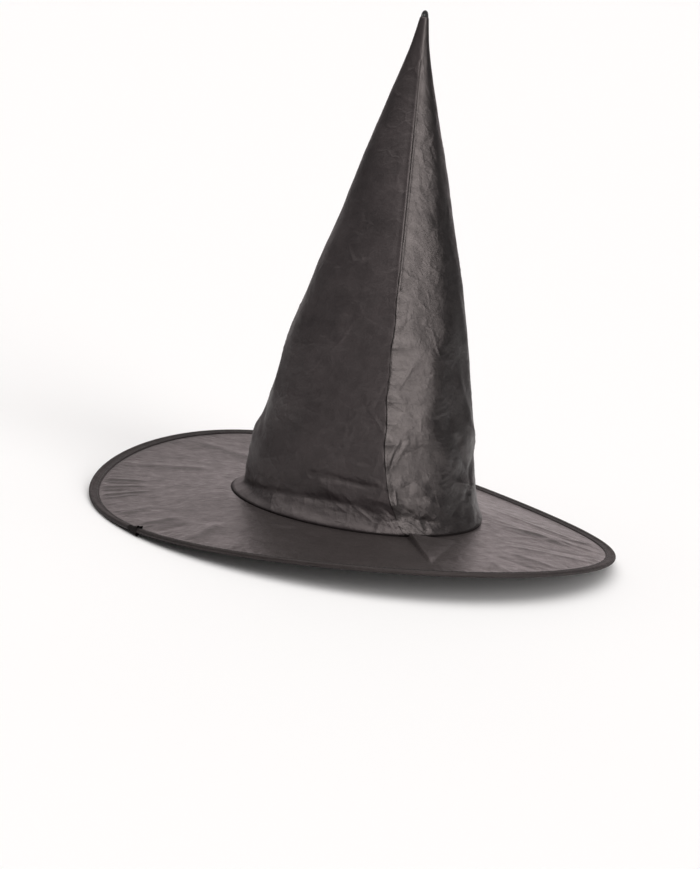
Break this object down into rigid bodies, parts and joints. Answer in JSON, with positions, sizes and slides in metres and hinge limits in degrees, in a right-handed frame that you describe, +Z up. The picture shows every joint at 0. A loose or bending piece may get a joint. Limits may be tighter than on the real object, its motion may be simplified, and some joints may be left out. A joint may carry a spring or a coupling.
{
  "type": "witch hat",
  "caption": "Soft cloth witch hat: tall two-gore cone with a bending point, sewn to a round sheer brim that a spring-wire hoop in a folded tape edge keeps open.",
  "frame": {"origin": "below the centre of the hat, on the surface that the lowest part of the brim's edge stands on", "axes": "+Z up along the crown, -Y towards the crown's front seam, +X to the wearer's left (a viewer's right)"},
  "size_m": [0.38, 0.38, 0.3691],
  "materials": {
    "crown_taffeta": "satin",
    "brim_taffeta": "satin",
    "binding_tape": "matte",
    "stiffener": "matte",
    "thread": "matte",
    "sweatband": "matte",
    "label_satin": "satin",
    "spring_steel": "satin",
    "ferrule_metal": "satin"
  },
  "bodies": {
    "hat": {"left_gore": "crown_taffeta", "right_gore": "crown_taffeta", "left_gore_bend": "crown_taffeta", "right_gore_bend": "crown_taffeta", "left_stiffener": "stiffener", "right_stiffener": "stiffener", "left_stiffener_bend": "stiffener", "right_stiffener_bend": "stiffener", "front_seam": "thread", "back_seam": "thread", "front_seam_bend": "thread", "back_seam_bend": "thread", "brim": "brim_taffeta", "brim_binding": "binding_tape", "binding_join": "binding_tape", "binding_stitches_top": "thread", "binding_stitches_under": "thread", "hoop_wire": "spring_steel", "hoop_ferrule": "ferrule_metal", "sweatband": "sweatband", "base_seam_overlock": "thread"},
    "crown_tip": {"left_gore_tip": "crown_taffeta", "right_gore_tip": "crown_taffeta", "left_stiffener_tip": "stiffener", "right_stiffener_tip": "stiffener", "front_seam_tip": "thread", "back_seam_tip": "thread", "tip_bar_tack": "thread"},
    "label": {"care_label": "label_satin"}
  },
  "joints": [
    {"name": "crown_tip_bend", "type": "hinge", "parent": "hat", "child": "crown_tip", "pos_m": [-0.0022, 0, 0.2624], "axis": [0, 1, 0], "range_deg": [-80, 80], "deforming": ["left_gore_bend", "right_gore_bend", "left_stiffener_bend", "right_stiffener_bend", "front_seam_bend", "back_seam_bend"]},
    {"name": "label_swing", "type": "hinge", "parent": "hat", "child": "label", "pos_m": [0, 0.0785, 0.04143], "axis": [1, 0, 0], "range_deg": [-105, 10]}
  ]
}
